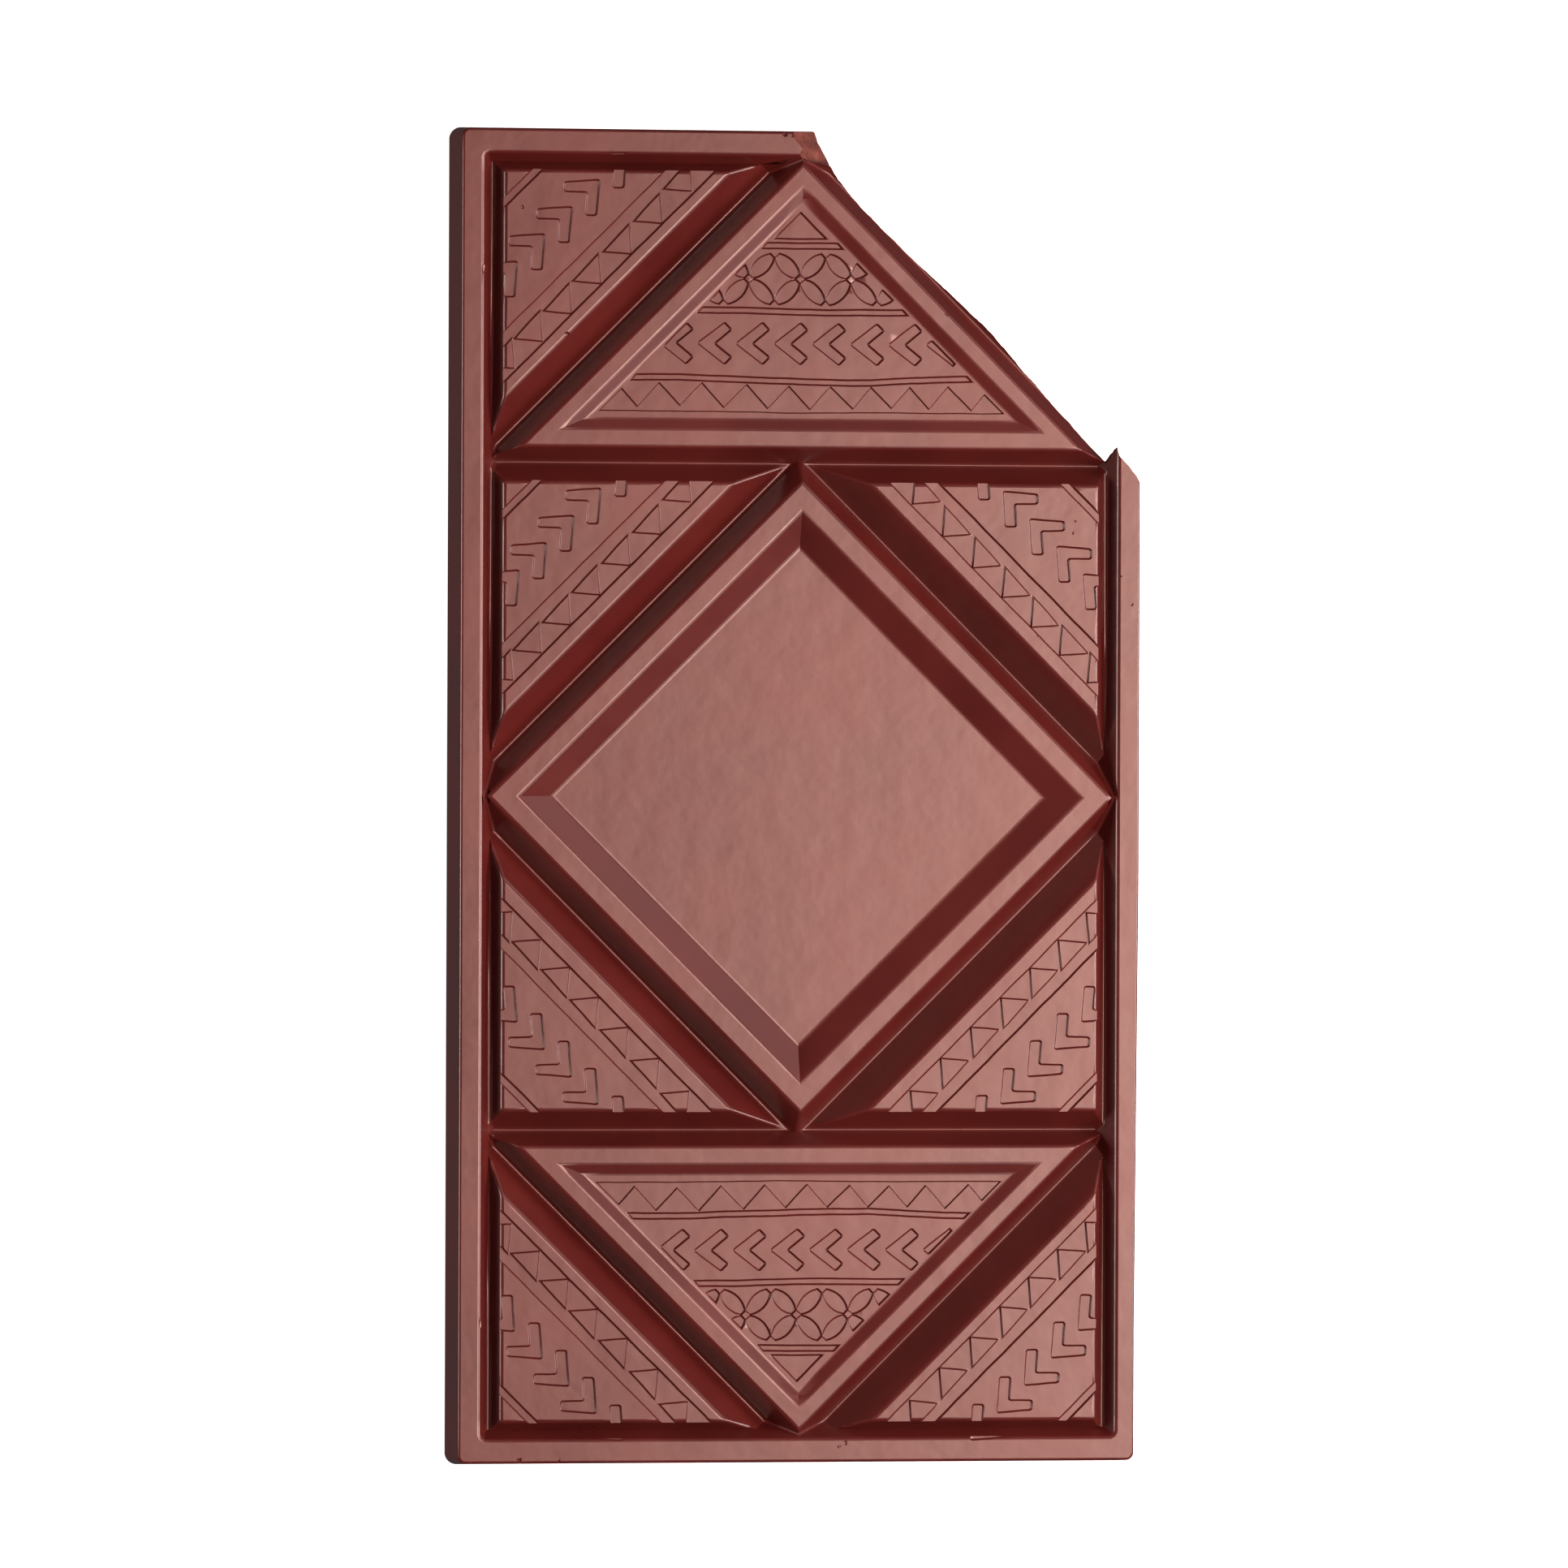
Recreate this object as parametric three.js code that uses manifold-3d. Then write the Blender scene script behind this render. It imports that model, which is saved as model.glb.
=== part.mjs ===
import * as THREE from 'three';
import { ConvexGeometry } from 'three/addons/geometries/ConvexGeometry.js';
import { mergeVertices } from 'three/addons/utils/BufferGeometryUtils.js';
import Module from 'manifold-3d';

// A moulded bar of dark chocolate, lying face up, with one corner broken off.
// X runs across the bar, Y along it and Z up, from under its middle. Millimetres and degrees.

// The block.
const thickness = 8;
const faceLength = 150;
const faceWidth = 77.6;
const draft = 0.5; // the underside stands out past the face by this much, all round
const cornerRadius = 0.9;
const sideBorder = 2.5;
const endBorder = 2.65;

// The moulded face is a set of fields with flat tops, parted by grooves where their slopes meet.
// Their places are measured from the middle of the bar. A slanting edge is placed by its reach,
// which is how far out it would cross the bar's centre lines.
const panelSide = 33.95; // a corner panel's edge along the side border
const endPanel = { edge: 70.35, reach: 78.65 }; // a corner panel of the end rows
const rowPanel = { edge: 35.35, reach: 43.1 }; // a corner panel beside the diamond
const diamondReach = 35.6;
const triangle = { base: 39.35, reach: 71.4 }; // the big triangle of each end row

// How steep the slopes are, from level.
const frameSlope = 62;
const diamondSlope = 59;
const triangleSlope = 63;
const rowPanelSlope = 56;
const hypotenuseSlope = 45;
const slopeDepth = 3.8; // the fields reach down to here, under every groove

// The hollows in the diamond and the big triangles.
const diamondHollow = { reach: 32.15, depth: 1.6, slope: 30 };
const triangleHollow = { base: 41.35, reach: 68.8, depth: 0.5, slope: 23 };

// The ornament sunk into a corner panel, placed from its right-angled corner along its two legs.
const relief = 0.25;
const band = { near: 18.1, far: 23.8 };
const stripe = { near: 3, far: 4.2 };
const tooth = { left: [14.5, 5.75], top: [17.35, 2.65], right: [17.65, 6], pitch: 3.39, count: 7 };
const hook = {
  outline: [[0, 0], [-0.3, 4], [-1.55, 4], [-1.35, 1.4], [-4, 1.35], [-3.95, 0.3]],
  u: 10.65,
  v: 1,
  pitch: 3.09,
  count: 5,
};

// The ornament sunk into a big triangle's hollow, row by row, cut off along its reach.
const motifReach = 66.5;
const peak = { x: -0.2, top: 65.9, base: 62.95 };
const bars = [
  { top: 62.5, base: 61.85 },
  { top: 55.05, base: 54.4 },
  { top: 47.45, base: 46.85 },
];
const ring = { row: 58.4, radius: 2.92, trim: 10, first: -9, pitch: 5.84, count: 4 };
const arrow = {
  row: 51.1, half: 2.35, arm: 3.85, nib: 0.8, notch: 1.95, first: -20.65, pitch: 4.36, count: 10,
};
const saw = { top: 46.6, foot: 43.8, base: 43.5, first: -23.5, pitch: 4.78, count: 10 };

// The break. In plan it wanders along the groove between the big triangle and the lost panel.
const breakLine = [
  [2.2, 77], [2.6, 75.3], [3, 74.1], [3.5, 73], [3.9, 72], [3.7, 71.2], [4.6, 69.6], [6.6, 67.3],
  [10, 63.9], [12.6, 61.4], [16, 58.3], [19.3, 55.3], [22.2, 52.5], [26, 48.3], [31.2, 42.5],
  [34.7, 38.7], [35.3, 38], [36.3, 38.7], [37.7, 37.4], [38.6, 36], [40, 34.6],
];
// Through the end border it slants, between a line across the face and one on the underside.
const stubFace = [[-1.6, 77], [-0.2, 71.6]];
const stubFoot = [[1.8, 77], [4.3, 71.6]];

const clear = 0.5; // how far a cutting solid stands out past what it cuts

const rad = THREE.MathUtils.degToRad;

const wasm = await Module();
wasm.setup();

// A closed geometry as a solid that can be joined and cut, and back.
function solid(geometry) {
  geometry.deleteAttribute('normal');
  geometry.deleteAttribute('uv');
  const merged = mergeVertices(geometry);
  const vertProperties = new Float32Array(merged.attributes.position.array);
  const triVerts = new Uint32Array(merged.index.array);
  return new wasm.Manifold(new wasm.Mesh({ numProp: 3, vertProperties, triVerts }));
}

function surface(manifold) {
  const { vertProperties, triVerts } = manifold.getMesh();
  const geometry = new THREE.BufferGeometry();
  geometry.setAttribute('position', new THREE.BufferAttribute(vertProperties, 3));
  geometry.setIndex(new THREE.BufferAttribute(triVerts, 1));
  geometry.computeVertexNormals();
  return geometry;
}

function join(solids) {
  return solids.reduce((whole, next) => whole.add(next));
}

// One side of a field: the way it faces, its reach that way and its slope. A field widens as it
// goes down, and a hollow, with slopes below zero, narrows.
function side(x, y, reach, slope) {
  return { x, y, reach, slope };
}

// The solid inside the sides between two levels. Each corner is where two neighbours cross.
function field(sides, low, high) {
  const points = [];
  for (const z of [low, high]) {
    const reaches = sides.map(({ x, y, reach, slope }) => (
      reach + ((thickness - z) * Math.hypot(x, y)) / Math.tan(rad(slope))));
    sides.forEach((a, i) => {
      const next = (i + 1) % sides.length;
      const b = sides[next];
      const cross = a.x * b.y - a.y * b.x;
      const x = (reaches[i] * b.y - reaches[next] * a.y) / cross;
      const y = (reaches[next] * a.x - reaches[i] * b.x) / cross;
      points.push(new THREE.Vector3(x, y, z));
    });
  }
  return solid(new ConvexGeometry(points));
}

function raised(sides) {
  return field(sides, thickness - slopeDepth, thickness);
}

function hollow(sides, depth) {
  return field(sides, thickness - depth, thickness + clear);
}

// A straight-walled cut of an outline, from a floor up through the face.
function stamp(points, floor) {
  const shape = new THREE.Shape(points.map(([x, y]) => new THREE.Vector2(x, y)));
  const depth = thickness + clear - floor;
  const geometry = new THREE.ExtrudeGeometry(shape, { depth, bevelEnabled: false });
  return solid(geometry.translate(0, 0, floor));
}

// The whole block, with rounded corners and walls that lean out to the underside.
function block() {
  const points = [];
  for (const start of [0, 90, 180, 270]) {
    const across = Math.sign(Math.cos(rad(start + 45))) * (faceWidth / 2 - cornerRadius);
    const along = Math.sign(Math.sin(rad(start + 45))) * (faceLength / 2 - cornerRadius);
    for (let turn = start; turn <= start + 90; turn += 22.5) {
      for (const [radius, z] of [[cornerRadius + draft, 0], [cornerRadius, thickness]]) {
        const x = across + radius * Math.cos(rad(turn));
        const y = along + radius * Math.sin(rad(turn));
        points.push(new THREE.Vector3(x, y, z));
      }
    }
  }
  return solid(new ConvexGeometry(points));
}

// The space inside the border, which the fields then fill again.
function insideBorder() {
  const across = faceWidth / 2 - sideBorder;
  const along = faceLength / 2 - endBorder;
  return hollow([
    side(1, 0, across, -frameSlope), side(0, 1, along, -frameSlope),
    side(-1, 0, across, -frameSlope), side(0, -1, along, -frameSlope),
  ], slopeDepth);
}

function diamondSides(reach, slope) {
  return [side(1, 1, reach, slope), side(-1, 1, reach, slope),
    side(-1, -1, reach, slope), side(1, -1, reach, slope)];
}

// end is 1 for the row at the broken end and -1 for the other.
function triangleSides(end, { base, reach }, slope) {
  return [side(1, end, reach, slope), side(-1, end, reach, slope), side(0, -end, -base, slope)];
}

// A corner panel has its right angle towards the bar's corner that the two signs name.
function panelSides(across, end, { edge, reach }, edgeSlope) {
  return [side(across, 0, panelSide, frameSlope), side(0, end, edge, edgeSlope),
    side(-across, -end, -reach, hypotenuseSlope)];
}

// A band of raised teeth, a row of hooks and a thin stripe in the corner.
function panelOrnament(across, end, edge) {
  const cut = (points) => stamp(
    points.map(([u, v]) => [across * (panelSide - u), end * (edge - v)]), thickness - relief);
  const strip = ({ near, far }) => cut([
    [near + clear, -clear], [far + clear, -clear], [-clear, far + clear], [-clear, near + clear],
  ]);
  const teeth = [];
  for (let i = 0; i < tooth.count; i += 1) {
    const shift = (i - 1) * tooth.pitch;
    const corners = [tooth.left, tooth.right, tooth.top];
    teeth.push(cut(corners.map(([u, v]) => [u - shift, v + shift])));
  }
  const hooks = [];
  for (let i = 0; i < hook.count; i += 1) {
    const u = hook.u - (i - 1) * hook.pitch;
    const v = hook.v + (i - 1) * hook.pitch;
    hooks.push(cut(hook.outline.map(([du, dv]) => [u + du, v + dv])));
  }
  const inside = cut([[-clear, -clear], [panelSide, -clear], [-clear, panelSide]]);
  return join([strip(band).subtract(join(teeth)), strip(stripe), ...hooks]).intersect(inside);
}

// The four petals between a ring and the star that stands in it, cut off short of their tips.
function petals(x) {
  const { row, radius, trim } = ring;
  const outlines = [];
  for (const [sx, sy] of [[1, 1], [-1, 1], [-1, -1], [1, -1]]) {
    const rim = [];
    const star = [];
    for (let i = 0; i <= 5; i += 1) {
      const turn = rad(trim + ((90 - 2 * trim) * i) / 5);
      const u = radius * Math.cos(turn);
      const v = radius * Math.sin(turn);
      rim.push([x + sx * u, row + sy * v]);
      star.push([x + sx * (radius - u), row + sy * (radius - v)]);
    }
    outlines.push([...rim, ...star]);
  }
  return outlines;
}

function arrowhead(x) {
  const { row, half, arm, nib, notch } = arrow;
  return [
    [x, row], [x + arm - nib, row - half], [x + arm, row - half + nib],
    [x + notch, row], [x + arm, row + half - nib], [x + arm - nib, row + half],
  ];
}

function sawteeth() {
  const points = [[saw.first, saw.base]];
  for (let i = 0; i < saw.count; i += 1) {
    const x = saw.first + i * saw.pitch;
    points.push([x, saw.foot], [x + saw.pitch / 2, saw.top]);
  }
  const last = saw.first + saw.count * saw.pitch;
  return [...points, [last, saw.foot], [last, saw.base]];
}

// A small triangle, rings with stars, arrowheads and a zigzag, with bars between the rows.
function triangleOrnament(end) {
  const floor = thickness - triangleHollow.depth - relief;
  const cut = (points) => stamp(points.map(([x, y]) => [x, end * y]), floor);
  const rise = peak.top - peak.base;
  const width = motifReach;
  const outlines = [
    [[peak.x, peak.top], [peak.x - rise, peak.base], [peak.x + rise, peak.base]],
    ...bars.map(({ top, base }) => [[-width, base], [width, base], [width, top], [-width, top]]),
    sawteeth(),
  ];
  for (let i = 0; i < ring.count; i += 1) {
    outlines.push(...petals(ring.first + i * ring.pitch));
  }
  for (let i = 0; i < arrow.count; i += 1) {
    outlines.push(arrowhead(arrow.first + i * arrow.pitch));
  }
  const low = saw.base - clear;
  const inside = cut([[0, motifReach], [low - motifReach, low], [motifReach - low, low]]);
  return join(outlines.map(cut)).intersect(inside);
}

// Everything past the break, right through the bar.
function lostCorner() {
  const outline = [...breakLine, [faceLength, 34.6], [faceLength, faceLength], [2.2, faceLength]];
  return stamp(outline, -clear);
}

// What is lost from the end border above its slanting break.
function lostBorder() {
  const points = [];
  for (const z of [-clear, thickness + clear]) {
    stubFace.forEach(([x, y], i) => {
      const drop = (thickness - z) / thickness;
      points.push(new THREE.Vector3(THREE.MathUtils.lerp(x, stubFoot[i][0], drop), y, z));
      points.push(new THREE.Vector3(faceWidth / 4, y, z));
    });
  }
  return solid(new ConvexGeometry(points));
}

function bar() {
  const fields = [raised(diamondSides(diamondReach, diamondSlope))];
  const { reach, depth, slope } = diamondHollow;
  const cuts = [hollow(diamondSides(reach, -slope), depth)];
  for (const end of [1, -1]) {
    const sides = triangleSides(end, triangleHollow, -triangleHollow.slope);
    fields.push(raised(triangleSides(end, triangle, triangleSlope)));
    cuts.push(hollow(sides, triangleHollow.depth), triangleOrnament(end));
    for (const across of [1, -1]) {
      fields.push(raised(panelSides(across, end, endPanel, frameSlope)));
      fields.push(raised(panelSides(across, end, rowPanel, rowPanelSlope)));
      cuts.push(panelOrnament(across, end, endPanel.edge));
      cuts.push(panelOrnament(across, end, rowPanel.edge));
    }
  }
  const moulded = block().subtract(insideBorder()).add(join(fields)).subtract(join(cuts));
  return moulded.subtract(lostCorner()).subtract(lostBorder());
}

const chocolate = new THREE.MeshStandardMaterial({ color: 0x7a423c, roughness: 0.35, metalness: 0 });
const chocolateBar = new THREE.Mesh(surface(bar()), chocolate);
chocolateBar.name = 'bar';

const group = new THREE.Group();
group.add(chocolateBar);

export default group;
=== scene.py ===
import math

import bmesh
import bpy
from mathutils import Matrix, Vector, noise


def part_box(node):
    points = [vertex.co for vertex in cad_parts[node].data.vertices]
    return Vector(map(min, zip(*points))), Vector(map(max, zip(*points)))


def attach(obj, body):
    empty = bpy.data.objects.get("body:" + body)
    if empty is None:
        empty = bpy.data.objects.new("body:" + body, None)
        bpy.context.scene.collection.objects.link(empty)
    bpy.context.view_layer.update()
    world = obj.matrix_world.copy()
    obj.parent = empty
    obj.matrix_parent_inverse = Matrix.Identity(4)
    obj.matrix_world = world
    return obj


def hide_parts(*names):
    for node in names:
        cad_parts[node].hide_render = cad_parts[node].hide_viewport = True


# A moulded bar of dark chocolate with one corner broken off. Lengths are millimetres until the mesh
# is done: x runs across the bar, y along it and z up from the table, as in the frame.

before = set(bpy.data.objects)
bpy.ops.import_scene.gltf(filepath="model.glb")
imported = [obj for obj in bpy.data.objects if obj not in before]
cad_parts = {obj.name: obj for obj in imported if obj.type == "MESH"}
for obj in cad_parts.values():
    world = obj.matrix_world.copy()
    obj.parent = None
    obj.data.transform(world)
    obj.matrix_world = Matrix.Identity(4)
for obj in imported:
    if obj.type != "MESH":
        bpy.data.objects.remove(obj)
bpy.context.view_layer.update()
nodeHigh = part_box("bar")[1]
mm = 0.001
hair = 0.01  # mm, what still counts as level with something
noise.seed_set(5)  # else the noise differs from run to run


def addObject(name, data):
    made = bpy.data.objects.new(name, data)
    bpy.context.scene.collection.objects.link(made)
    return made


# ---- camera

cameraSettings = {
    "place": (-213.8, 3.0, 1307.1),  # nearly overhead, a little to the left
    "aim": (-1.98, 1.46, 8.0),
    "roll": 0.209,  # degrees
    "lens": 268.07,
    "sensor": 36.0,
    "sees": (0.05, 20),  # metres, from the nearest to the farthest
}


def makeCamera(s):
    place = Vector(s["place"])
    forward = (Vector(s["aim"]) - place).normalized()
    level = forward.cross(Vector((0, 1, 0))).normalized()
    upright = level.cross(forward)
    roll = math.radians(s["roll"])
    right = level * math.cos(roll) + upright * math.sin(roll)
    up = upright * math.cos(roll) - level * math.sin(roll)
    data = bpy.data.cameras.new("camera")
    data.lens = s["lens"]
    data.sensor_width = s["sensor"]
    data.clip_start, data.clip_end = s["sees"]
    camera = addObject("camera", data)
    turn = Matrix((right, up, -forward)).transposed().to_4x4()
    camera.matrix_world = Matrix.Translation(place * mm) @ turn
    bpy.context.scene.camera = camera


makeCamera(cameraSettings)
print("camera placed")

# ---- materials


def linear(code):
    parts = [int(code[i:i + 2], 16) / 255 for i in (1, 3, 5)]
    return [c / 12.92 if c <= 0.04045 else ((c + 0.055) / 1.055) ** 2.4 for c in parts] + [1.0]


# Adds a node. A setting is an input's value or a property, and a link joins an input to a socket.
def addNode(tree, kind, settings=None, links=None):
    node = tree.nodes.new(kind)
    for name, value in (settings or {}).items():
        if isinstance(name, int) or name in node.inputs:
            node.inputs[name].default_value = value
        else:
            setattr(node, name, value)
    for name, socket in (links or {}).items():
        tree.links.new(socket, node.inputs[name])
    return node


def newMaterial(name):
    material = bpy.data.materials.new(name)
    material.use_nodes = True
    material.node_tree.nodes.clear()
    return material, material.node_tree


def perMillimetre(size):
    return 1 / (size * mm)


# Tempered dark chocolate as it comes out of a polished mould: nearly black-brown cocoa, a satin
# skin of cocoa butter that mirrors a lamp softly, and faint cloudy patches where it cooled.
mouldedChocolate = {
    "deep": "#451614",
    "pale": "#4f1b18",
    "cloud": 14,  # mm, size of the cooling patches
    "ior": 1.5,
    "roughness": (0.27, 0.34),
    "ripple": (3.5, 0.3, 0.12),  # mm across, mm high, strength
    "grain": (0.35, 0.02, 0.1),
}


def makeMouldedChocolate(s):
    material, tree = newMaterial("mouldedDarkChocolate")
    place = addNode(tree, "ShaderNodeTexCoord").outputs["Object"]
    cloud = addNode(tree, "ShaderNodeTexNoise",
                    {"Scale": perMillimetre(s["cloud"]), "Detail": 4, "Roughness": 0.55},
                    {"Vector": place})
    tint = addNode(tree, "ShaderNodeMapRange", {"From Min": 0.35, "From Max": 0.65},
                   {"Value": cloud.outputs[0]})
    colour = addNode(tree, "ShaderNodeMix",
                     {"data_type": "RGBA", 6: linear(s["deep"]), 7: linear(s["pale"])},
                     {0: tint.outputs["Result"]})
    low, high = s["roughness"]
    gloss = addNode(tree, "ShaderNodeMapRange",
                    {"From Min": 0.3, "From Max": 0.7, "To Min": low, "To Max": high},
                    {"Value": cloud.outputs[0]})
    size, height, strength = s["ripple"]
    ripple = addNode(tree, "ShaderNodeTexNoise", {"Scale": perMillimetre(size), "Detail": 2},
                     {"Vector": place})
    soft = addNode(tree, "ShaderNodeBump", {"Strength": strength, "Distance": height * mm},
                   {"Height": ripple.outputs[0]})
    size, height, strength = s["grain"]
    grain = addNode(tree, "ShaderNodeTexNoise", {"Scale": perMillimetre(size), "Detail": 2},
                    {"Vector": place})
    fine = addNode(tree, "ShaderNodeBump", {"Strength": strength, "Distance": height * mm},
                   {"Height": grain.outputs[0], "Normal": soft.outputs["Normal"]})
    skin = addNode(tree, "ShaderNodeBsdfPrincipled", {"IOR": s["ior"]},
                   {"Base Color": colour.outputs[2], "Roughness": gloss.outputs["Result"],
                    "Normal": fine.outputs["Normal"]})
    addNode(tree, "ShaderNodeOutputMaterial", None, {"Surface": skin.outputs["BSDF"]})
    return material


# The same chocolate where it snapped: rough and dull, so it looks paler, with small crystals that
# stand out of it.
brokenChocolate = {
    "deep": "#47211b",
    "pale": "#7a463c",
    "lump": (1.6, 0.25, 0.8),  # mm across, mm high, strength
    "speck": (0.35, 0.08, 0.5),
    "ior": 1.5,
    "roughness": 0.62,
}


def makeBrokenChocolate(s):
    material, tree = newMaterial("brokenDarkChocolate")
    place = addNode(tree, "ShaderNodeTexCoord").outputs["Object"]
    size, height, strength = s["lump"]
    lump = addNode(tree, "ShaderNodeTexNoise",
                   {"Scale": perMillimetre(size), "Detail": 6, "Roughness": 0.7},
                   {"Vector": place})
    coarse = addNode(tree, "ShaderNodeBump", {"Strength": strength, "Distance": height * mm},
                     {"Height": lump.outputs[0]})
    tint = addNode(tree, "ShaderNodeMapRange", {"From Min": 0.35, "From Max": 0.68},
                   {"Value": lump.outputs[0]})
    colour = addNode(tree, "ShaderNodeMix",
                     {"data_type": "RGBA", 6: linear(s["deep"]), 7: linear(s["pale"])},
                     {0: tint.outputs["Result"]})
    size, height, strength = s["speck"]
    speck = addNode(tree, "ShaderNodeTexVoronoi", {"Scale": perMillimetre(size)},
                    {"Vector": place})
    fine = addNode(tree, "ShaderNodeBump", {"Strength": strength, "Distance": height * mm},
                   {"Height": speck.outputs["Distance"], "Normal": coarse.outputs["Normal"]})
    body = addNode(tree, "ShaderNodeBsdfPrincipled",
                   {"IOR": s["ior"], "Roughness": s["roughness"]},
                   {"Base Color": colour.outputs[2], "Normal": fine.outputs["Normal"]})
    addNode(tree, "ShaderNodeOutputMaterial", None, {"Surface": body.outputs["BSDF"]})
    return material


chocolates = [makeMouldedChocolate(mouldedChocolate), makeBrokenChocolate(brokenChocolate)]
print("materials made")

# ---- ways of shaping


def toObject(bm, name, materials):
    mesh = bpy.data.meshes.new(name)
    bm.to_mesh(mesh)
    bm.free()
    for material in materials:
        mesh.materials.append(material)
    return addObject(name, mesh)


# Joins or cuts two closed shapes and gives the result. The faces of the tool keep their material.
def combined(base, tool, operation):
    target, cutter = toObject(base, "base", chocolates), toObject(tool, "tool", chocolates)
    step = target.modifiers.new("step", "BOOLEAN")
    step.object = cutter
    step.operation = operation
    step.solver = "MANIFOLD"
    result = bmesh.new()
    result.from_object(target, bpy.context.evaluated_depsgraph_get())
    for used in (target, cutter):
        mesh = used.data
        bpy.data.objects.remove(used)
        bpy.data.meshes.remove(mesh)
    return result


def joined(shapes):
    whole = bmesh.new()
    for shape in shapes:
        mesh = bpy.data.meshes.new("shape")
        shape.to_mesh(mesh)
        shape.free()
        whole.from_mesh(mesh)
        bpy.data.meshes.remove(mesh)
    return whole


def picked(geometry, kind):
    return [g for g in geometry if isinstance(g, kind)]


def lowest(edge):
    return min(v.co.z for v in edge.verts)


def highest(edge):
    return max(v.co.z for v in edge.verts)


def bends(edge, degrees):
    return edge.calc_face_angle(0) > math.radians(degrees)


def breadth(side):
    return 2 * side.calc_area() / side.calc_perimeter()


# Cuts a mesh along a plane, and takes off what the plane faces.
def sliced(bm, point, facing, near=1e-5, trim=True):
    return bmesh.ops.bisect_plane(bm, geom=bm.verts[:] + bm.edges[:] + bm.faces[:], dist=near,
                                  plane_co=point, plane_no=facing, clear_outer=trim)


# The box between two corners, cut by planes. Each plane is a point on it and the way it faces.
def solidInside(planes, low, high):
    bm = bmesh.new()
    size = Vector(high) - Vector(low)
    bmesh.ops.create_cube(bm, size=1)
    bmesh.ops.scale(bm, vec=size, verts=bm.verts)
    bmesh.ops.translate(bm, vec=Vector(low) + size / 2, verts=bm.verts)
    for point, facing in planes:
        rim = picked(sliced(bm, point, facing)["geom_cut"], bmesh.types.BMEdge)
        if rim:
            bmesh.ops.edgeloop_fill(bm, edges=rim)
    bmesh.ops.recalc_face_normals(bm, faces=bm.faces)
    return bm


def softened(bm, chosen, reach, segments):
    bmesh.ops.bevel(bm, geom=chosen, offset=reach, offset_type="OFFSET", segments=segments,
                    profile=0.5, affect="EDGES", clamp_overlap=False, material=-1)


# ---- the moulded form, without its ornament

block = {
    "draft": 0.5,  # the foot stands out past the face by this much, all round
    "cornerRadius": 0.9,
    "cornerFacets": 5,
    "faceZone": 1,  # what belongs to the face is higher than this
    "edge": 0.3,  # how far the rounding of an edge reaches from it
    "edgeTurn": 32,  # degrees, from which an edge is rounded
    "edgeLength": 0.5,  # and how long it is at least, below the level of the face
    "valley": 0.42,
    "valleyTurn": 50,
    "valleyLength": 1.5,
    "valleySegments": 7,
    "foot": 0.32,
    "footTurn": 57,
    "segments": 4,
    "tooSmall": 0.15,  # shorter edges are closed up first
    "nearlyFlat": 0.5,  # degrees, up to which two faces become one
    "beyond": 5,  # how far a shape to cut from or with reaches past the bar
    "above": 1,  # and past its face
}
face = nodeHigh.z / mm
halfWidth = nodeHigh.x / mm - block["draft"]
halfLength = nodeHigh.y / mm - block["draft"]

# Fields with flat tops stand inside the border, parted by grooves where their slopes meet. A
# slanting edge is placed by its reach: how far out it crosses the bar's centre lines. Slopes are in
# degrees.
fields = {
    "border": {"across": 36.3, "along": 72.35, "slope": 62, "corner": 0.8, "facets": 2},
    "panelSide": 33.95,
    "endPanel": {"edge": 70.35, "reach": 78.65, "slope": 62},
    "rowPanel": {"edge": 35.35, "reach": 43.1, "slope": 56},
    "hypotenuse": 45,  # the slope of a panel's slanting side
    "diamond": {"reach": 35.6, "slope": 59},
    "triangle": {"base": 39.35, "reach": 71.4, "slope": 63},
    "depth": 3.8,
    "margin": 1.2,  # a field's slopes end this far inside the walls and below the grooves
}


# A plane that crosses the face along x * X + y * Y = reach and falls away outwards at the slope.
# With a slope below zero it is the wall of a hollow, which falls inwards.
def leaning(x, y, reach, slope):
    size = math.hypot(x, y)
    turn = math.radians(slope)
    point = Vector((x * reach / size**2, y * reach / size**2, face))
    out = abs(math.sin(turn)) / size
    return point, Vector((x * out, y * out, math.copysign(math.cos(turn), turn)))


# The four sides of a rectangle and the planes that round its corners.
def roundedSides(across, along, radius, slope, facets):
    planes = [leaning(1, 0, across, slope), leaning(-1, 0, across, slope),
              leaning(0, 1, along, slope), leaning(0, -1, along, slope)]
    for sx in (1, -1):
        for sy in (1, -1):
            for i in range(facets):
                turn = math.radians(90 * (i + 1) / (facets + 1))
                x, y = math.cos(turn), math.sin(turn)
                reach = (across - radius) * x + (along - radius) * y + radius
                planes.append(leaning(sx * x, sy * y, reach, slope))
    return planes


def diamondSides(reach, slope):
    return [leaning(x, y, reach, slope) for x, y in ((1, 1), (-1, 1), (-1, -1), (1, -1))]


def triangleSides(end, sizes):
    return [leaning(1, end, sizes["reach"], sizes["slope"]),
            leaning(-1, end, sizes["reach"], sizes["slope"]),
            leaning(0, -end, -sizes["base"], sizes["slope"])]


def panelSides(across, end, panel):
    return [leaning(across, 0, fields["panelSide"], fields["border"]["slope"]),
            leaning(0, end, panel["edge"], panel["slope"]),
            leaning(-across, -end, -panel["reach"], fields["hypotenuse"])]


def raisedField(planes):
    margin = fields["margin"]
    low = (margin - halfWidth, margin - halfLength, face - fields["depth"] - margin)
    return solidInside(planes, low, (halfWidth - margin, halfLength - margin, face))


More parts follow.
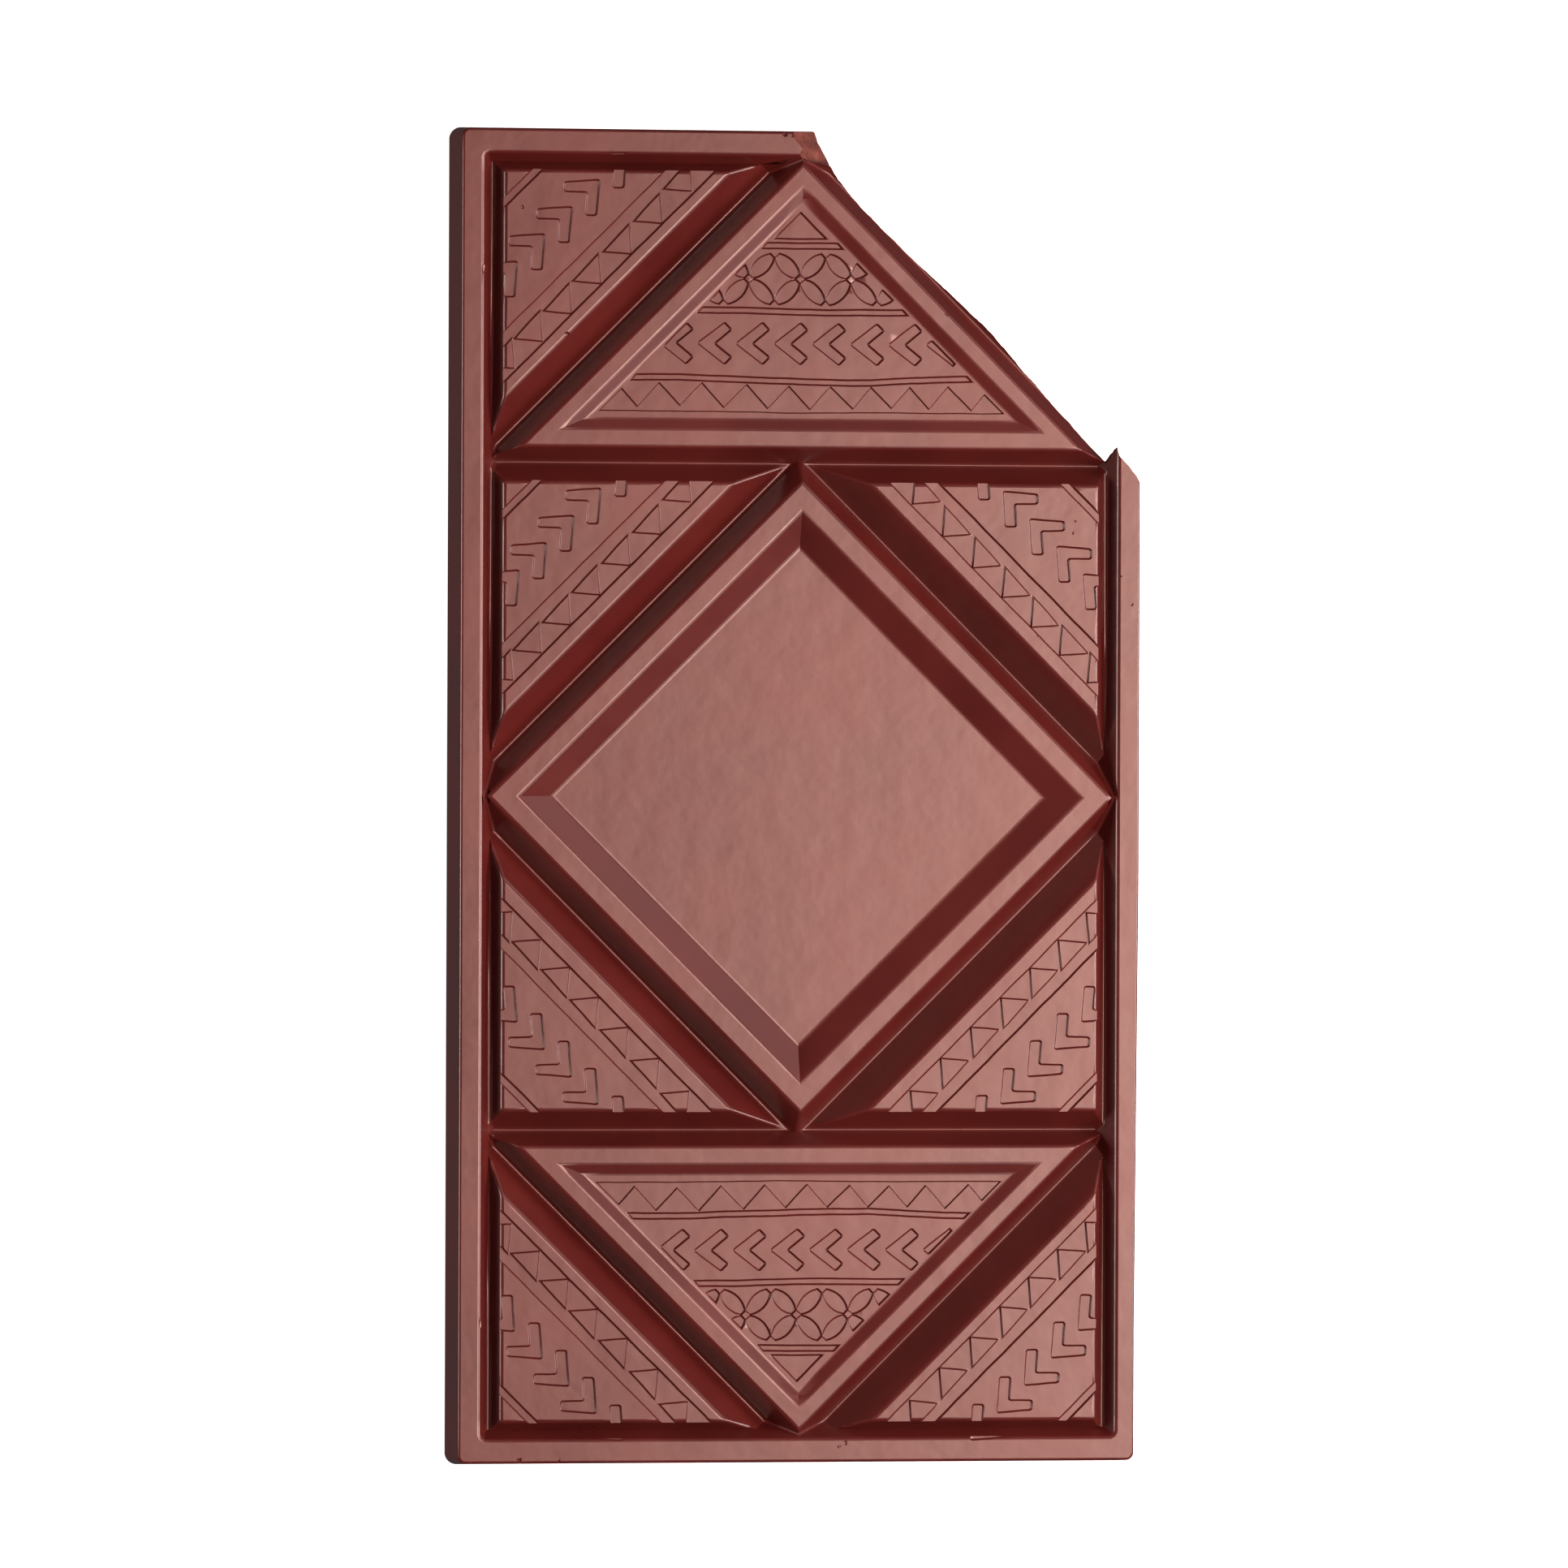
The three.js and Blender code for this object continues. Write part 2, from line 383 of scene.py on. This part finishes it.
def makeMouldedForm():
    walls = roundedSides(halfWidth, halfLength, block["cornerRadius"],
                         math.degrees(math.atan2(face, block["draft"])), block["cornerFacets"])
    reach = halfLength + block["beyond"]
    form = solidInside(walls, (-reach, -reach, 0), (reach, reach, face))
    border = fields["border"]
    inner = roundedSides(border["across"], border["along"], border["corner"], -border["slope"],
                         border["facets"])
    pocket = solidInside(inner, (-reach, -reach, face - fields["depth"]),
                         (reach, reach, face + block["above"]))
    form = combined(form, pocket, "DIFFERENCE")
    shapes = [diamondSides(**fields["diamond"])]
    for end in (1, -1):
        shapes.append(triangleSides(end, fields["triangle"]))
        for across in (1, -1):
            shapes.append(panelSides(across, end, fields["endPanel"]))
            shapes.append(panelSides(across, end, fields["rowPanel"]))
    for planes in shapes:
        form = combined(form, raisedField(planes), "UNION")
    # what is left of a slope where three fields nearly meet is too small to round
    bmesh.ops.remove_doubles(form, verts=form.verts, dist=block["tooSmall"])
    bmesh.ops.dissolve_limit(form, angle_limit=math.radians(block["nearlyFlat"]),
                             verts=form.verts, edges=form.edges)
    foot = [e for e in form.edges if highest(e) < hair and bends(e, block["footTurn"])]
    softened(form, foot, block["foot"], block["segments"])
    valleys = [e for e in form.edges if lowest(e) > block["faceZone"] and not e.is_convex
               and e.calc_length() > block["valleyLength"] and bends(e, block["valleyTurn"])]
    softened(form, valleys, block["valley"], block["valleySegments"])
    ridges = [e for e in form.edges if e.is_convex and bends(e, block["edgeTurn"])]
    ridges = [e for e in ridges if lowest(e) > face - hair
              or e.calc_length() > block["edgeLength"] and lowest(e) > block["faceZone"]]
    softened(form, ridges, block["edge"], block["segments"])
    return form


bar = makeMouldedForm()
print("moulded form:", len(bar.faces), "faces")

# ---- shapes sunk into it with soft walls

lift = 0.6  # how far a cutting shape stands up past the level that it sinks from
brim = (0.02, 0.004)  # its wall starts this far out of the soft edge and above the level
bendSteps = (0.35, 0.7, 1)


# The steps of a wall from its top edge to its foot: how far in, and how far down. The wall's middle
# is moved out from the outline by some of its width.
def wallSteps(depth, width, soft, out=0.0):
    steep = depth / width
    places = [(-soft - brim[0], -brim[1])]
    for share in bendSteps:
        run = 2 * soft * share
        places.append((run - soft, steep * run * run / (4 * soft)))
    for share in (*reversed(bendSteps), 0):
        run = 2 * soft * share
        foot = depth - steep * run * run / (4 * soft)
        if width + soft - run > places[-1][0] + hair:
            places.append((width + soft - run, foot))
    return [(across - out, drop) for across, drop in places]


# Rounds the corners of a flat outline where its edges are long enough.
def roundCorners(bm, radius):
    for vert in bm.verts[:]:
        ends = [e.other_vert(vert).co - vert.co for e in vert.link_edges]
        half = ends[0].angle(ends[1]) / 2
        reach = radius / math.tan(half)
        fits = min(e.length for e in ends) > 2 * reach
        if fits and half < math.radians(ornament["bluntest"]):
            bmesh.ops.bevel(bm, geom=[vert], offset=reach, segments=ornament["cornerSegments"],
                            profile=0.5, affect="VERTICES", material=-1)


# Closed shapes to cut with. They start at a level and go down by the wall's depth. An outline that
# the clips leave too narrow for its walls is dropped.
def sunkShapes(outlines, level, wall, corner=0.0, wander=0.0, clips=()):
    shapes = []
    for outline in outlines:
        flat = bmesh.new()
        flat.faces.new([flat.verts.new((x, y, level + hair)) for x, y in outline])
        for point, facing in clips:
            sliced(flat, point, facing)
        loose = [v for v in flat.verts if not v.link_faces]
        bmesh.ops.delete(flat, geom=loose, context="VERTS")
        width = min((breadth(f) for f in flat.faces), default=0)
        if width > wall["width"] + wall["soft"]:
            if corner:
                roundCorners(flat, corner)
            shapes.append(flat)
    bm = joined(shapes)
    if wander:
        handCut(bm, wander)
    raised = bmesh.ops.extrude_face_region(bm, geom=bm.faces[:])
    bmesh.ops.translate(bm, vec=(0, 0, lift), verts=picked(raised["geom"], bmesh.types.BMVert))
    bmesh.ops.recalc_face_normals(bm, faces=bm.faces)
    floors = [f for f in bm.faces if f.normal.z < -0.9]
    inwards, down = 0, -hair
    for across, drop in wallSteps(**wall):
        bmesh.ops.inset_region(bm, faces=floors, use_even_offset=True, use_boundary=True,
                               thickness=across - inwards, depth=drop - down)
        inwards, down = across, drop
    return bm


# Splits the long edges of flat outlines and lets them stray, as lines cut by hand do.
def handCut(bm, wander):
    for edge in bm.edges[:]:
        pieces = round(edge.calc_length() / ornament["step"])
        if pieces > 1:
            bmesh.ops.bisect_edges(bm, edges=[edge], cuts=pieces - 1)
    finer, weaker = ornament["tremor"]
    for vert in bm.verts:
        long = noise.noise_vector(vert.co / ornament["wanderLength"])
        short = noise.noise_vector(vert.co / ornament["wanderLength"] * finer)
        stray = (long + short * weaker) * wander
        vert.co += Vector((stray.x, stray.y, 0))


ornament = {
    "step": 0.7,
    "wanderLength": 3.5,
    "wander": 0.06,
    "tremor": (3.7, 0.35),  # how much finer and weaker the second wave of the wander is
    "cornerSegments": 4,
    "bluntest": 72,  # degrees, half of the widest corner that is rounded
    "wall": {"depth": 0.25, "width": 0.12, "soft": 0.05, "out": 0.06},
    "band": (18.1, 23.8),
    "stripe": (3.0, 4.2),
    "over": 1.3,  # how far a band or stripe runs out over the grooves beside its panel
    "tooth": ((14.5, 5.75), (17.65, 6.0), (17.35, 2.65)),
    "toothPitch": 3.39,
    "toothNudge": ((0.2, -0.45), (0.2, -0.15), (0.1, -0.05), (0.05, -0.1), (0.15, -0.1),
                   (0.22, -0.35), (0.4, -0.65)),
    "toothClear": 0.5,  # how far from the end of its band a tooth is cut off
    "hook": ((0, 0), (-0.3, 4), (-1.55, 4), (-1.35, 1.4), (-4, 1.35), (-3.95, 0.3)),
    "hookCorner": 0.25,
    "hookAt": (10.65, 1),
    "hookPitch": 3.09,
    "hooks": 5,
    "motifReach": 66.5,  # the ornament of a big triangle is cut off along this reach
    "peak": {"x": -0.2, "top": 65.9, "base": 62.95},
    "barHeight": 0.63,
    "barCorner": 0.2,
    "bars": (((-66.5, 61.85), (66.5, 61.85)),  # the lower edges, which aren't quite straight
             ((-66.5, 54.8), (-6, 54.5), (-0.4, 54.34), (5.2, 54.36), (66.5, 54.9)),
             ((-66.5, 46.7), (-14.3, 46.93), (-7.8, 46.76), (-2.3, 46.6), (3.3, 46.46),
              (7.9, 46.45), (12.6, 46.76), (66.5, 48.6))),
    "ring": {"row": 58.4, "radius": 2.92, "trim": 10, "first": -9, "pitch": 5.84, "count": 4},
    "arcPoints": 7,
    "arrow": {"row": 51.1, "half": 2.35, "arm": 3.85, "nib": 0.8, "notch": 1.95, "first": -20.65,
              "pitch": 4.36, "count": 10},
    "saw": ((-23.2, 43.9), (-21.2, 46.6), (-18.77, 43.88), (-16.3, 46.6), (-13.88, 44.05),
            (-11.43, 46.67), (-8.9, 43.84), (-6.35, 46.52), (-3.93, 43.78), (-1.5, 46.33),
            (0.95, 43.7), (3.24, 46.3), (5.85, 43.78), (7.88, 46.3), (10.28, 43.88),
            (12.36, 46.3), (14.56, 43.86), (16.73, 46.42), (19.4, 43.76), (21.6, 46.4),
            (23.9, 43.9)),
    "sawBase": ((23.9, 43.42), (10.7, 43.4), (0.3, 43.3), (-11.6, 43.4), (-23.2, 43.42)),
    "sawWall": {"depth": 0.25, "width": 0.08, "soft": 0.03, "out": 0.04},
}
upright = 90  # degrees, the slope of a plane that only clips

# The seven whole panels, and how far their hooks sit off their place: in from the side and from the
# end.
hookSlips = {
    ("endPanel", -1, 1): (0.05, 0.0),
    ("endPanel", -1, -1): (0.18, -0.05),
    ("endPanel", 1, -1): (0.6, -0.2),
    ("rowPanel", -1, 1): (0.35, -0.3),
    ("rowPanel", -1, -1): (0.3, -0.3),
    ("rowPanel", 1, 1): (0.3, -0.28),
    ("rowPanel", 1, -1): (0.3, -0.28),
}

hollows = {
    "diamond": {"reach": 32.15, "wall": {"depth": 1.6, "width": 2.77, "soft": 0.28}},
    "triangle": {"base": 41.35, "reach": 68.8, "wall": {"depth": 0.5, "width": 1.18, "soft": 0.2}},
}


def makeHollows():
    reach = hollows["diamond"]["reach"]
    outline = [(reach, 0), (0, reach), (-reach, 0), (0, -reach)]
    shapes = [sunkShapes([outline], face, hollows["diamond"]["wall"])]
    triangle = hollows["triangle"]
    half = triangle["reach"] - triangle["base"]
    for end in (1, -1):
        outline = [(half, end * triangle["base"]), (0, end * triangle["reach"]),
                   (-half, end * triangle["base"])]
        shapes.append(sunkShapes([outline], face, triangle["wall"]))
    return joined(shapes)


# The teeth are left standing in the band, so the tool for it is a strip with the teeth cut out.
def makePanelOrnament(name, across, end):
    edge = fields[name]["edge"]
    slipU, slipV = hookSlips[name, across, end]

    def placed(points, u=0.0, v=0.0):
        return [(across * (fields["panelSide"] - u - du), end * (edge - v - dv))
                for du, dv in points]

    def strip(near, far):
        out = ornament["over"]
        return placed([(near + out, -out), (far + out, -out), (-out, far + out),
                       (-out, near + out)])

    wall, wander = ornament["wall"], ornament["wander"]
    band = sunkShapes([strip(*ornament["band"])], face, wall, wander=wander)
    teeth = []
    for i, (du, dv) in enumerate(ornament["toothNudge"]):
        shift = (i - 1) * ornament["toothPitch"]
        teeth.append(placed(ornament["tooth"], du - shift, dv + shift))
    # a tooth that crossed the end of the strip would spoil the cut
    inset = ornament["over"] - ornament["toothClear"]
    clips = [leaning(across, 0, fields["panelSide"] + inset, upright),
             leaning(0, end, edge + inset, upright)]
    # neighbours touch at their feet, so every other tooth is cut at once
    for some in (teeth[::2], teeth[1::2]):
        standing = sunkShapes(some, face, wall, wander=wander, clips=clips)
        # turned over, so that they widen to the floor instead of to the face
        bmesh.ops.scale(standing, vec=(1, 1, -1), verts=standing.verts)
        rise = 2 * face - wall["depth"] + 2 * hair
        bmesh.ops.translate(standing, vec=(0, 0, rise), verts=standing.verts)
        bmesh.ops.reverse_faces(standing, faces=standing.faces)
        band = combined(band, standing, "DIFFERENCE")
    hooks = []
    for i in range(ornament["hooks"]):
        shift = (i - 1) * ornament["hookPitch"]
        u, v = ornament["hookAt"]
        hooks.append(placed(ornament["hook"], u - shift + slipU, v + shift + slipV))
    hookShapes = sunkShapes(hooks, face, wall, ornament["hookCorner"], wander)
    stripe = sunkShapes([strip(*ornament["stripe"])], face, wall, wander=wander)
    return [band, hookShapes, stripe]


def arc(x, y, radius, start, stop):
    last = ornament["arcPoints"] - 1
    turns = [math.radians(start + (stop - start) * i / last) for i in range(last + 1)]
    return [(x + radius * math.cos(t), y + radius * math.sin(t)) for t in turns]


# Opposite petals of the four between a ring and the star that stands in it.
def petals(x, first):
    ring = ornament["ring"]
    row, radius, trim = ring["row"], ring["radius"], ring["trim"]
    outlines = []
    for start in (first, first + 180):
        rim = arc(x, row, radius, start + trim, start + 90 - trim)
        turn = math.radians(start + 45)
        farX = x + math.copysign(radius, math.cos(turn))
        farY = row + math.copysign(radius, math.sin(turn))
        star = arc(farX, farY, radius, start + 180 + trim, start + 270 - trim)
        outlines.append(rim + star)
    return outlines


def arrowhead(x):
    a = ornament["arrow"]
    row, half, arm, nib, notch = a["row"], a["half"], a["arm"], a["nib"], a["notch"]
    return [(x, row), (x + arm - nib, row - half), (x + arm, row - half + nib), (x + notch, row),
            (x + arm, row + half - nib), (x + arm - nib, row + half)]


def makeTriangleOrnament(end):
    level = face - hollows["triangle"]["wall"]["depth"]
    clips = [leaning(x, end, ornament["motifReach"], upright) for x in (1, -1)]
    wall, wander = ornament["wall"], ornament["wander"]
    peak = ornament["peak"]
    rise = peak["top"] - peak["base"]
    top = [(peak["x"], peak["top"]), (peak["x"] - rise, peak["base"]),
           (peak["x"] + rise, peak["base"])]
    ring, arrow = ornament["ring"], ornament["arrow"]
    places = [ring["first"] + i * ring["pitch"] for i in range(ring["count"])]
    # petals that touch are cut one after the other
    rising, falling = ([p for x in places for p in petals(x, first)] for first in (0, 90))
    height = ornament["barHeight"]
    blunt = [[*low, *((x, y + height) for x, y in reversed(low))] for low in ornament["bars"]]
    blunt += [arrowhead(arrow["first"] + i * arrow["pitch"]) for i in range(arrow["count"])]
    saw = [*ornament["saw"], *ornament["sawBase"]]
    shapes = []
    for outlines, corner, sides in (([top] + rising, 0, wall), (falling, 0, wall),
                                    (blunt, ornament["barCorner"], wall),
                                    ([saw], 0, ornament["sawWall"])):
        turned = [[(x, end * y) for x, y in outline] for outline in outlines]
        shapes.append(sunkShapes(turned, level, sides, corner, wander, clips))
    return shapes


bar = combined(bar, makeHollows(), "DIFFERENCE")
print("hollows sunk:", len(bar.faces), "faces")

# shapes that touch each other are sunk in different turns
turns = [[], [], []]
triangleTurns = (0, 1, 2, 1)
for end in (1, -1):
    for turn, tool in zip(triangleTurns, makeTriangleOrnament(end)):
        turns[turn].append(tool)
for name, across, end in hookSlips:
    for turn, tool in enumerate(makePanelOrnament(name, across, end)):
        turns[turn].append(tool)
for tools in turns:
    bar = combined(bar, joined(tools), "DIFFERENCE")
    print("ornament sunk:", len(bar.faces), "faces")

# ---- the break

# Points along the break: where it crosses the level of the face, then where it reaches the table.
breakPoints = (
    (-1.7, 76.5, 2.1, 76.5), (-1.19, 74.93, 2.6, 75.42), (-0.92, 73.98, 3.0, 74.17),
    (-0.06, 73.05, 3.5, 73.2), (-0.44, 72.4, 3.9, 72.5), (-0.3, 71.83, 4.1, 72.1),
    (1.5, 71.45, 4.25, 71.8), (3.2, 71.1, 4.45, 71.4), (4.4, 69.9, 4.6, 69.9),
    (6.6, 67.3, 6.6, 67.3), (10, 63.9, 10, 63.9), (12.6, 61.4, 12.6, 61.4), (16, 58.3, 16, 58.2),
    (19.3, 55.3, 19.4, 55.1), (22.2, 52.5, 22.2, 52.4), (26, 48.3, 25.9, 48.3),
    (31.2, 42.5, 31.1, 42.4), (34.7, 38.7, 34.6, 38.6), (35.3, 38.05, 35.2, 38),
    (35.75, 38.8, 35.6, 38), (36.05, 39.75, 35.9, 38), (36.3, 39.8, 36.2, 38),
    (36.45, 38.8, 36.5, 38), (37, 38.14, 37, 37.9), (37.7, 37.4, 37.9, 37.2),
    (38.45, 36.4, 38.7, 36.2), (38.8, 35.6, 39.3, 35.4), (40.5, 33.6, 41, 33.2),
)
breakLook = {
    "step": 0.4,
    "lumps": (2.2, 0.16),  # size and height
    "grains": (0.6, 0.07),
    "past": 0.6,  # how far the tool reaches above the face and below the table
    "far": ((60, 33), (60, 90), (-1.6, 90)),  # its other corners, well off the bar
    "calm": (45, 80),  # past this x or y it stays smooth
}


def makeLostCorner():
    bm = bmesh.new()
    upper, foot = [], []
    for a, b in zip(breakPoints, breakPoints[1:]):
        ends = [Vector(a[:2]), Vector(b[:2]), Vector(a[2:]), Vector(b[2:])]
        pieces = max(1, round((ends[1] - ends[0]).length / breakLook["step"]))
        for i in range(pieces):
            upper.append(ends[0].lerp(ends[1], i / pieces))
            foot.append(ends[2].lerp(ends[3], i / pieces))
    far = [Vector(p) for p in breakLook["far"]]
    # the break leans, so the outline above the face and below the table is carried on in line
    past = breakLook["past"]
    rise = face + past
    top = [bm.verts.new((*(u + (u - f) * past / face), rise)) for u, f in zip(upper, foot)]
    top += [bm.verts.new((*p, rise)) for p in far]
    low = [f + (f - u) * past / face for u, f in zip(upper, foot)] + far
    lid = bm.faces.new(top)
    lowered = bmesh.ops.extrude_face_region(bm, geom=[lid])
    for vert in picked(lowered["geom"], bmesh.types.BMVert):
        nearest = min(range(len(top)), key=lambda i: (top[i].co - vert.co).length_squared)
        vert.co = Vector((*low[nearest], -past))
    walls = [e for e in bm.edges if highest(e) > lowest(e)]
    bmesh.ops.subdivide_edges(bm, edges=walls, cuts=round(rise / breakLook["step"]))
    calmX, calmY = breakLook["calm"]
    for vert in bm.verts:
        if vert.co.x < calmX and vert.co.y < calmY:
            for size, height in (breakLook["lumps"], breakLook["grains"]):
                vert.co += noise.noise_vector(vert.co / size) * height
    for side in bm.faces:
        side.material_index = 1
    bmesh.ops.recalc_face_normals(bm, faces=bm.faces)
    return bm


bar = combined(bar, makeLostCorner(), "DIFFERENCE")
print("corner broken off:", len(bar.faces), "faces")

# ---- chips and pits

# Where each is, and how far across.
nicks = (
    (-26.84, 51.81, 1.0), (-12.47, 59.08, 0.5), (-31.96, 66.17, 0.6), (16.59, 54.71, 1.1),
    (-2.07, 74.7, 0.8), (-1.2, 74.5, 0.5), (5.34, -72.88, 0.7), (4.6, -73.3, 0.5),
    (-31.82, -74.6, 0.8), (-27.3, -74.8, 0.5), (36.58, 25.12, 0.4), (37.9, 21.91, 0.5),
    (31.32, 31.34, 0.35), (31.04, 29.96, 0.4), (24.74, 18.72, 0.45), (27.07, 18.36, 0.4),
    (-17.33, 49.26, 0.75), (-34.1, 46.5, 0.6), (-9.97, 7.01, 0.35),
)
# Lengths here are shares of the nick's own size.
nickLook = {
    "rise": 0.3,  # how far its middle is above the face
    "lumps": 2.3,  # how many of them go across it
    "rough": 0.2,  # and their height
}


def makeNicks(s):
    shapes = []
    for x, y, size in nicks:
        bm = bmesh.new()
        bmesh.ops.create_icosphere(bm, subdivisions=2, radius=size / 2)
        bmesh.ops.translate(bm, vec=(x, y, face + size * s["rise"]), verts=bm.verts)
        for vert in bm.verts:
            vert.co += noise.noise_vector(vert.co / size * s["lumps"]) * size * s["rough"]
        shapes.append(bm)
    return joined(shapes)


bar = combined(bar, makeNicks(nickLook), "DIFFERENCE")
print("chipped:", len(bar.faces), "faces")

# ---- the finished piece

finish = {
    "slice": 2.5,  # mm between the cuts that let the flats be uneven
    "swell": (16, 0.05),  # size and depth of the unevenness of the face
    "back": (9, 0.16),  # and of the underside
    "backZone": 0.05,  # the underside is lower than this
    "rim": 1,  # and at least this far inside the walls
    "crease": 35,  # degrees, from which an edge looks sharp
    "flatCrease": 5,  # the same beside a broad face
    "broad": 0.18,  # mm, how wide such a face is at least
    "roughCrease": 70,
    "sliver": 0.002,  # mm, up to which an edge is closed up
    "folds": 5,  # how often edges with more than two faces are taken out
    "slit": 0.001,  # mm, up to which an open slit is closed
    # the right side draws in past this x, from one y to another
    "narrowing": {"x": 37, "from": -10, "to": -60, "by": 0.35, "ease": 1.2},
}


def dropLoose(bm):
    loose = [edge for edge in bm.edges if not edge.link_faces]
    bmesh.ops.delete(bm, geom=loose, context="EDGES")


def markCreases(bm):
    for edge in bm.edges:
        sides = edge.link_faces
        broad = max(breadth(side) for side in sides) > finish["broad"]
        kind = "flatCrease" if broad else "crease"
        if all(side.material_index for side in sides):
            kind = "roughCrease"
        edge.smooth = edge.calc_face_angle(0) < math.radians(finish[kind])


def swell(place, size, depth):
    return depth * (0.5 + 0.5 * noise.noise(place / size))


def makeUneven(bm):
    n = finish["narrowing"]
    for vert in bm.verts:
        if vert.co.x > n["x"]:
            share = min(1, max(0, (vert.co.y - n["from"]) / (n["to"] - n["from"])))
            vert.co.x -= n["by"] * share * min(1, (vert.co.x - n["x"]) / n["ease"])
        if vert.co.z > block["faceZone"]:
            vert.co.z -= swell(vert.co, *finish["swell"])
        elif (vert.co.z < finish["backZone"] and abs(vert.co.x) < halfWidth - finish["rim"]
              and abs(vert.co.y) < halfLength - finish["rim"]):
            vert.co.z += swell(vert.co, *finish["back"])


def finished(bm):
    bmesh.ops.dissolve_degenerate(bm, edges=bm.edges, dist=finish["sliver"])
    dropLoose(bm)
    markCreases(bm)
    for facing, half in ((Vector((1, 0, 0)), halfWidth), (Vector((0, 1, 0)), halfLength)):
        last = int(half / finish["slice"])
        for i in range(-last, last + 1):
            sliced(bm, facing * i * finish["slice"], facing, near=1e-4, trim=False)
    bmesh.ops.triangulate(bm, faces=bm.faces)
    # slivers folded onto each other
    for _ in range(finish["folds"]):
        folded = [edge for edge in bm.edges if len(edge.link_faces) > 2]
        bmesh.ops.collapse(bm, edges=folded)
        dropLoose(bm)
    rims = [vert for vert in bm.verts if any(edge.is_boundary for edge in vert.link_edges)]
    bmesh.ops.remove_doubles(bm, verts=rims, dist=finish["slit"])
    dropLoose(bm)
    makeUneven(bm)
    for side in bm.faces:
        side.smooth = True
    bmesh.ops.scale(bm, vec=(mm, mm, mm), verts=bm.verts)
    piece = toObject(bm, "chocolateBar", chocolates)
    even = piece.modifiers.new("evenShading", "WEIGHTED_NORMAL")
    even.mode = "FACE_AREA"
    even.keep_sharp = True
    return piece


chocolateBar = finished(bar)
print("bar finished:", len(chocolateBar.data.polygons), "triangles")
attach(chocolateBar, "root")
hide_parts("bar")

# ---- floor and light

studio = {
    "floor": "#ffffff",
    "reach": 3,  # metres, from the middle of the floor to its edge
    "glow": 0.9,  # the floor's own light, which leaves only a faint shadow on it
    "sky": 0.08,
    # degrees from straight above and round from the right, mm away, mm across, watts, tint
    "lamps": ((18.5, -4, 600, 300, 1.6, "#ffccbc"), (23.5, -3, 1500, 200, 15.0, "#ffcec0"),
              (58, 0, 600, 200, 3.2, "#ffe6e2"), (60, 45, 600, 280, 0.5, "#ffe6e2"),
              (35, -45, 600, 280, 0.75, "#ffeae2"), (35, 90, 600, 280, 0.2, "#ffeae2"),
              (82, 180, 600, 200, 2.6, "#fff0e8")),
}


def makeFloor(s):
    material, tree = newMaterial("paleFloor")
    paint = addNode(tree, "ShaderNodeBsdfPrincipled",
                    {"Base Color": linear(s["floor"]), "Roughness": 1.0,
                     "Specular IOR Level": 0.0, "Emission Color": linear(s["floor"]),
                     "Emission Strength": s["glow"]})
    addNode(tree, "ShaderNodeOutputMaterial", None, {"Surface": paint.outputs["BSDF"]})
    bm = bmesh.new()
    bmesh.ops.create_grid(bm, x_segments=1, y_segments=1, size=s["reach"])
    floor = toObject(bm, "floor", [material])
    # the white below isn't mirrored in the walls of the bar, as if it lay on a dark table
    floor.visible_glossy = False
    floor.visible_diffuse = False


def makeLamp(tilt, turn, away, size, power, tint):
    data = bpy.data.lights.new("softbox", "AREA")
    data.size = size * mm
    data.energy = power
    data.color = linear(tint)[:3]
    lamp = addObject("softbox", data)
    lean, bearing = math.radians(tilt), math.radians(turn)
    out = Vector((math.sin(lean) * math.cos(bearing), math.sin(lean) * math.sin(bearing),
                  math.cos(lean)))
    lamp.location = out * away * mm
    lamp.rotation_euler = out.to_track_quat("Z", "Y").to_euler()


def makeSky(strength):
    world = bpy.data.worlds.new("sky")
    world.use_nodes = True
    light = world.node_tree.nodes["Background"].inputs
    light["Color"].default_value = linear("#ffffff")
    light["Strength"].default_value = strength
    bpy.context.scene.world = world


makeFloor(studio)
makeSky(studio["sky"])
for settings in studio["lamps"]:
    makeLamp(*settings)
bpy.context.scene.view_settings.view_transform = "Standard"
print("studio lit")
